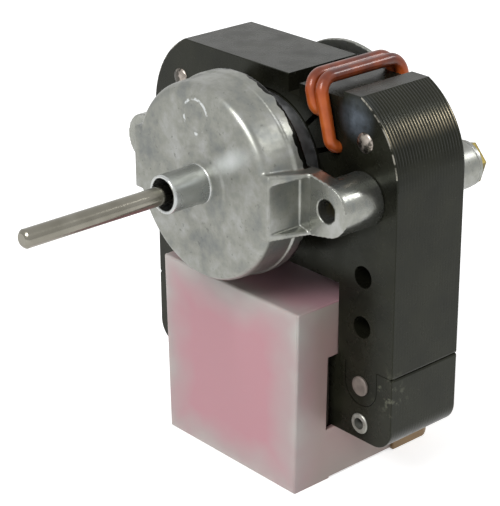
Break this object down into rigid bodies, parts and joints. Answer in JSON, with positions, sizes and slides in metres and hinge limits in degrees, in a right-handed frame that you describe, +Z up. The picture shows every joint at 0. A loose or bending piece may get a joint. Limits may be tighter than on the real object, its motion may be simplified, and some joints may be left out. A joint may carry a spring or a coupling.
{
  "type": "evaporator fan motor",
  "caption": "Open-frame shaded-pole fan motor with a laminated frame, die-cast end bells, a boxed coil below and a long plain shaft.",
  "frame": {"origin": "on the shaft axis, in the plane of the two front ear faces, midway between their holes", "axes": "+Z up towards the yoke, the shaft lies along Y and its free end points towards -Y, +X along the line of the ears"},
  "size_m": [0.0604, 0.0795, 0.073],
  "materials": {
    "black_lacquered_steel": "satin",
    "tan_nylon": "satin",
    "enamelled_copper": "gloss",
    "red_tape": "satin",
    "natural_nylon": "satin",
    "varnished_copper": "gloss",
    "die_cast_metal": "as cast",
    "sintered_bronze": "matte",
    "felt": "matte",
    "spring_steel": "satin",
    "yellow_passivated_steel": "satin",
    "plated_steel": "satin",
    "ground_steel": "ground",
    "lamination_steel": "matte",
    "cast_aluminium": "as cast",
    "washer_nylon": "satin"
  },
  "bodies": {
    "motor_frame": {"stator_stack": "black_lacquered_steel", "coil_core_bar": "black_lacquered_steel", "bobbin": "tan_nylon", "coil_winding": "enamelled_copper", "coil_tape": "red_tape", "coil_cover": "natural_nylon", "coil_end_cover": "tan_nylon", "shading_coil_upper_inner": "varnished_copper", "shading_coil_upper_outer": "varnished_copper", "shading_coil_lower_inner": "varnished_copper", "shading_coil_lower_outer": "varnished_copper", "front_bell": "die_cast_metal", "rear_bell": "die_cast_metal", "front_bearing": "sintered_bronze", "rear_bearing": "sintered_bronze", "front_oil_wick": "felt", "rear_oil_wick": "felt", "front_bearing_retainer": "spring_steel", "rear_bearing_retainer": "spring_steel", "through_screws": "yellow_passivated_steel", "stack_rivets": "plated_steel", "bar_eyelets": "plated_steel"},
    "rotor": {"shaft": "ground_steel", "rotor_core": "lamination_steel", "rotor_cage": "cast_aluminium", "front_thrust_washer": "washer_nylon", "rear_thrust_washer": "washer_nylon", "front_sleeve": "washer_nylon", "rear_sleeve": "washer_nylon"}
  },
  "joints": [
    {"name": "rotor_spin", "type": "hinge", "parent": "motor_frame", "child": "rotor", "pos_m": [0, 0, 0], "axis": [0, -1, 0], "continuous": true}
  ]
}
